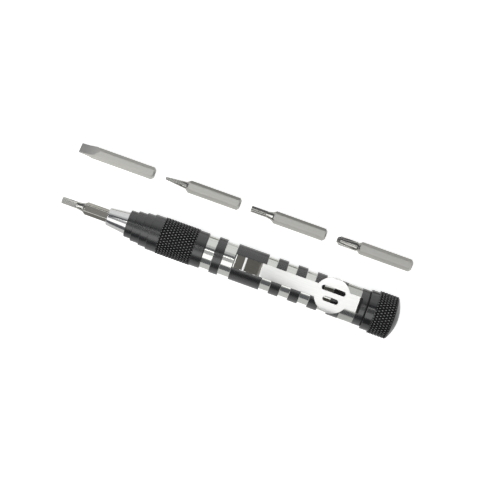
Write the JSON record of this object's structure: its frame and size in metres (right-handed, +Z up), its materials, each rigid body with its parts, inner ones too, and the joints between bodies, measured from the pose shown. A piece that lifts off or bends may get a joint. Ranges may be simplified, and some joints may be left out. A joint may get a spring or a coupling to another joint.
{
  "type": "pocket screwdriver",
  "caption": "Pen-shaped pocket screwdriver with ringed barrel, knurled collar and screw cap, pocket clip, hexagonal bit socket and spare bits laid beside it.",
  "frame": {"origin": "on the table under the middle of the whole set's box", "axes": "+X along the driver's axis from the bit's tip to the cap, +Z up through the clip, +Y from the driver to the row of spare bits"},
  "size_m": [0.1254, 0.0298, 0.0167],
  "materials": {
    "black_anodised": "black anodised, with bright-cut rings on the barrel",
    "bright_steel": "polished",
    "clip_steel": "brushed",
    "bit_steel": "satin, with polished tips",
    "magnet": "nickel plated",
    "seal_rubber": "matt"
  },
  "bodies": {
    "driver": {"barrel": "black_anodised", "grip_collar": "black_anodised", "bit_holder": "bright_steel", "socket_magnet": "magnet", "clip_foot": "clip_steel"},
    "clip": {"clip_arm": "clip_steel"},
    "seal": {"cap_seal": "seal_rubber"},
    "cap": {"end_cap": "black_anodised"},
    "bit_in_nose": {"hex_bit": "bit_steel"},
    "spare_flat": {"flat_bit": "bit_steel"},
    "spare_fine": {"fine_bit": "bit_steel"},
    "spare_star": {"star_bit": "bit_steel"},
    "spare_cross": {"cross_bit": "bit_steel"}
  },
  "joints": [
    {"name": "clip_flex", "type": "hinge", "parent": "driver", "child": "clip", "pos_m": [0.01112, -0.00718, 0.0142], "axis": [0, -1, 0], "range_deg": [0, 5], "stiffness_Nm_per_rad": 0.8},
    {"name": "cap_lift", "type": "slide", "parent": "driver", "child": "seal", "axis": [1, 0, 0], "range_m": [0, 0.006]},
    {"name": "cap_turn", "type": "hinge", "parent": "seal", "child": "cap", "pos_m": [0.05078, -0.00718, 0.00775], "axis": [1, 0, 0], "range_deg": [0, 2160]},
    {"name": "bit_pull", "type": "slide", "parent": "driver", "child": "bit_in_nose", "axis": [-1, 0, 0], "range_m": [0, 0.015]},
    {"name": "flat_bit_shift", "type": "slide", "parent": "driver", "child": "spare_flat", "axis": [0, 1, 0], "range_m": [0, 0.03]},
    {"name": "fine_bit_shift", "type": "slide", "parent": "driver", "child": "spare_fine", "axis": [0, 1, 0], "range_m": [0, 0.03]},
    {"name": "star_bit_shift", "type": "slide", "parent": "driver", "child": "spare_star", "axis": [0, 1, 0], "range_m": [0, 0.03]},
    {"name": "cross_bit_shift", "type": "slide", "parent": "driver", "child": "spare_cross", "axis": [0, 1, 0], "range_m": [0, 0.03]}
  ],
  "couplings": [
    {"joint": "cap_lift", "follows": "cap_turn", "m_per_rad": 0.00015915}
  ]
}
